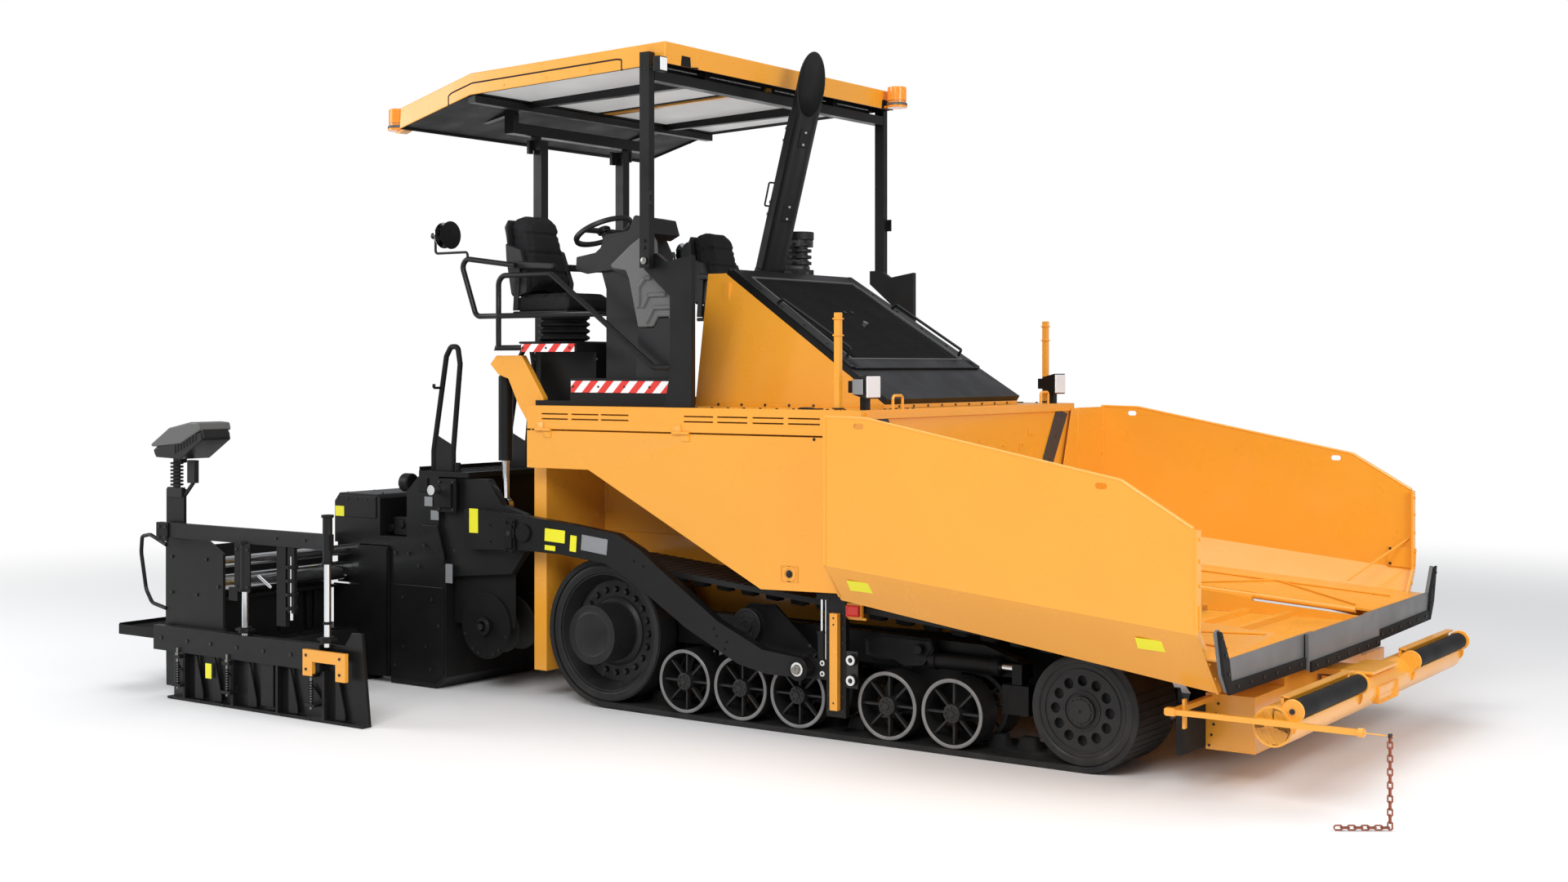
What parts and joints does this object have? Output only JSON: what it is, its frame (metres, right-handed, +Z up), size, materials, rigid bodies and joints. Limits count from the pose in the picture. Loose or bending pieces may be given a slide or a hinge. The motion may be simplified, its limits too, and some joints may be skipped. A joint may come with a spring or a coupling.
{
  "type": "tracked asphalt paver",
  "caption": "Road paver on rubber tracks: folding front hopper with push beam, engine hood, covered operator platform and a towed, extending screed with side gates.",
  "frame": {"origin": "middle of the bounding box at ground level", "axes": "+X forward to the hopper, +Y to the machine's left, +Z up"},
  "size_m": [7.8, 4.9, 3.9884],
  "materials": {
    "yellow_paint": "satin",
    "black_paint": "satin",
    "rubber": "matte",
    "grey_plastic": "matte",
    "steel": "satin",
    "engine_iron": "matte",
    "beacon_amber": "gloss"
  },
  "bodies": {
    "tractor": {"air_intake": "black_paint", "auger_drive": "black_paint", "canopy_brackets": "black_paint", "chassis": "yellow_paint", "console": "grey_plastic", "conveyor": "black_paint", "dash_covers": "grey_plastic", "deck": "yellow_paint", "drive_wheels": "black_paint", "engine": "engine_iron", "engine_bay": "yellow_paint", "exhaust_stack": "black_paint", "front_apron": "black_paint", "guide_chain": "steel", "headlights": "black_paint", "hood": "yellow_paint", "hopper_bed": "yellow_paint", "idler_wheels": "black_paint", "lift_brackets": "yellow_paint", "lifting_loops": "yellow_paint", "mud_flaps": "rubber", "platform": "black_paint", "platform_rails": "black_paint", "road_wheels": "black_paint", "seats": "grey_plastic", "steering_guide": "yellow_paint", "tow_guides": "black_paint", "track_frames": "black_paint", "track_left": "rubber", "track_right": "rubber"},
    "side_door_right": {"side_door_right": "yellow_paint"},
    "side_door_left": {"side_door_left": "yellow_paint"},
    "hood_lid": {"hood_lid": "black_paint"},
    "wing_right": {"hopper_wing_right": "yellow_paint", "apron_right": "black_paint"},
    "wing_left": {"hopper_wing_left": "yellow_paint", "apron_left": "black_paint"},
    "push_beam": {"push_beam": "yellow_paint"},
    "push_rollers": {"push_rollers": "steel"},
    "front_posts": {"front_posts": "black_paint"},
    "canopy": {"canopy_roof": "yellow_paint", "canopy_frame": "black_paint", "beacons": "beacon_amber"},
    "rear_posts": {"rear_posts": "black_paint"},
    "steering_wheel": {"steering_wheel": "grey_plastic"},
    "screed": {"tow_arms": "black_paint", "screed_frame": "black_paint", "screed_walkway": "black_paint"},
    "lift_barrel_right": {"lift_barrel_right": "black_paint"},
    "lift_barrel_left": {"lift_barrel_left": "black_paint"},
    "lift_rod_right": {"lift_rod_right": "steel"},
    "lift_rod_left": {"lift_rod_left": "steel"},
    "extension_right": {"extension_right": "black_paint", "control_box_right": "grey_plastic"},
    "extension_left": {"extension_left": "black_paint", "control_box_left": "grey_plastic"},
    "end_gate_right": {"end_gate_right": "black_paint"},
    "end_gate_left": {"end_gate_left": "black_paint"},
    "auger_right": {"auger_right": "steel"},
    "auger_left": {"auger_left": "steel"}
  },
  "joints": [
    {"name": "side_door_right_swing", "type": "hinge", "parent": "tractor", "child": "side_door_right", "pos_m": [0, -1.284, 1.655], "axis": [-1, 0, 0], "range_deg": [0, 80]},
    {"name": "side_door_left_swing", "type": "hinge", "parent": "tractor", "child": "side_door_left", "pos_m": [0, 1.284, 1.655], "axis": [1, 0, 0], "range_deg": [0, 80]},
    {"name": "hood_lid_swing", "type": "hinge", "parent": "tractor", "child": "hood_lid", "pos_m": [-0.325, 0, 2.6], "axis": [0, -1, 0], "range_deg": [0, 50]},
    {"name": "wing_right_fold", "type": "hinge", "parent": "tractor", "child": "wing_right", "pos_m": [1.041, -0.62, 0.825], "axis": [-0.9976, 0, 0.0687], "range_deg": [0, 50]},
    {"name": "wing_left_fold", "type": "hinge", "parent": "tractor", "child": "wing_left", "pos_m": [1.041, 0.62, 0.825], "axis": [0.9976, 0, -0.0687], "range_deg": [0, 50]},
    {"name": "push_beam_swing", "type": "hinge", "parent": "tractor", "child": "push_beam", "pos_m": [3.18, 0, 0.43], "axis": [0, 0, 1], "range_deg": [-5, 5]},
    {"name": "push_rollers_turn", "type": "hinge", "parent": "push_beam", "child": "push_rollers", "pos_m": [3.42, 0, 0.462], "axis": [0, 1, 0], "continuous": true},
    {"name": "front_posts_lower", "type": "hinge", "parent": "tractor", "child": "front_posts", "pos_m": [-0.441, 0, 2.645], "axis": [0, -1, 0], "range_deg": [0, 58]},
    {"name": "canopy_level", "type": "hinge", "parent": "front_posts", "child": "canopy", "pos_m": [-0.441, 0, 3.72], "axis": [0, -1, 0], "range_deg": [-58, 0]},
    {"name": "rear_posts_lower", "type": "hinge", "parent": "tractor", "child": "rear_posts", "pos_m": [-2.039, 0, 2.425], "axis": [0, -1, 0], "range_deg": [0, 58]},
    {"name": "steering_wheel_turn", "type": "hinge", "parent": "tractor", "child": "steering_wheel", "pos_m": [-1.06, -0.93, 2.86], "axis": [-0.4226, 0, 0.9063], "range_deg": [-135, 135]},
    {"name": "screed_lift", "type": "hinge", "parent": "tractor", "child": "screed", "pos_m": [0.617, 0, 0.385], "axis": [0, 1, 0], "range_deg": [0, 5.5]},
    {"name": "lift_barrel_right_swing", "type": "hinge", "parent": "tractor", "child": "lift_barrel_right", "pos_m": [-1.715, -1.1, 2.03], "axis": [0, 1, 0], "range_deg": [-7.65, 0]},
    {"name": "lift_rod_right_slide", "type": "slide", "parent": "lift_barrel_right", "child": "lift_rod_right", "axis": [0, 0, 1], "range_m": [0, 0.2142]},
    {"name": "extension_right_slide", "type": "slide", "parent": "screed", "child": "extension_right", "axis": [0, 1, 0], "range_m": [0, 1.08]},
    {"name": "end_gate_right_slide", "type": "slide", "parent": "extension_right", "child": "end_gate_right", "axis": [0, 0, 1], "range_m": [0, 0.1]},
    {"name": "auger_right_turn", "type": "hinge", "parent": "tractor", "child": "auger_right", "pos_m": [-1.8, 0, 0.42], "axis": [0, 1, 0], "continuous": true},
    {"name": "lift_barrel_left_swing", "type": "hinge", "parent": "tractor", "child": "lift_barrel_left", "pos_m": [-1.715, 1.1, 2.03], "axis": [0, 1, 0], "range_deg": [-7.65, 0]},
    {"name": "lift_rod_left_slide", "type": "slide", "parent": "lift_barrel_left", "child": "lift_rod_left", "axis": [0, 0, 1], "range_m": [0, 0.2142]},
    {"name": "extension_left_slide", "type": "slide", "parent": "screed", "child": "extension_left", "axis": [0, -1, 0], "range_m": [0, 1.08]},
    {"name": "end_gate_left_slide", "type": "slide", "parent": "extension_left", "child": "end_gate_left", "axis": [0, 0, 1], "range_m": [0, 0.1]},
    {"name": "auger_left_turn", "type": "hinge", "parent": "tractor", "child": "auger_left", "pos_m": [-1.8, 0, 0.42], "axis": [0, 1, 0], "continuous": true}
  ],
  "couplings": [
    {"joint": "canopy_level", "follows": "front_posts_lower", "ratio": -1},
    {"joint": "rear_posts_lower", "follows": "front_posts_lower", "ratio": 1},
    {"joint": "lift_barrel_right_swing", "follows": "screed_lift", "ratio": -1.3909},
    {"joint": "lift_rod_right_slide", "follows": "screed_lift", "m_per_rad": 2.2309},
    {"joint": "lift_barrel_left_swing", "follows": "screed_lift", "ratio": -1.3909},
    {"joint": "lift_rod_left_slide", "follows": "screed_lift", "m_per_rad": 2.2309}
  ]
}
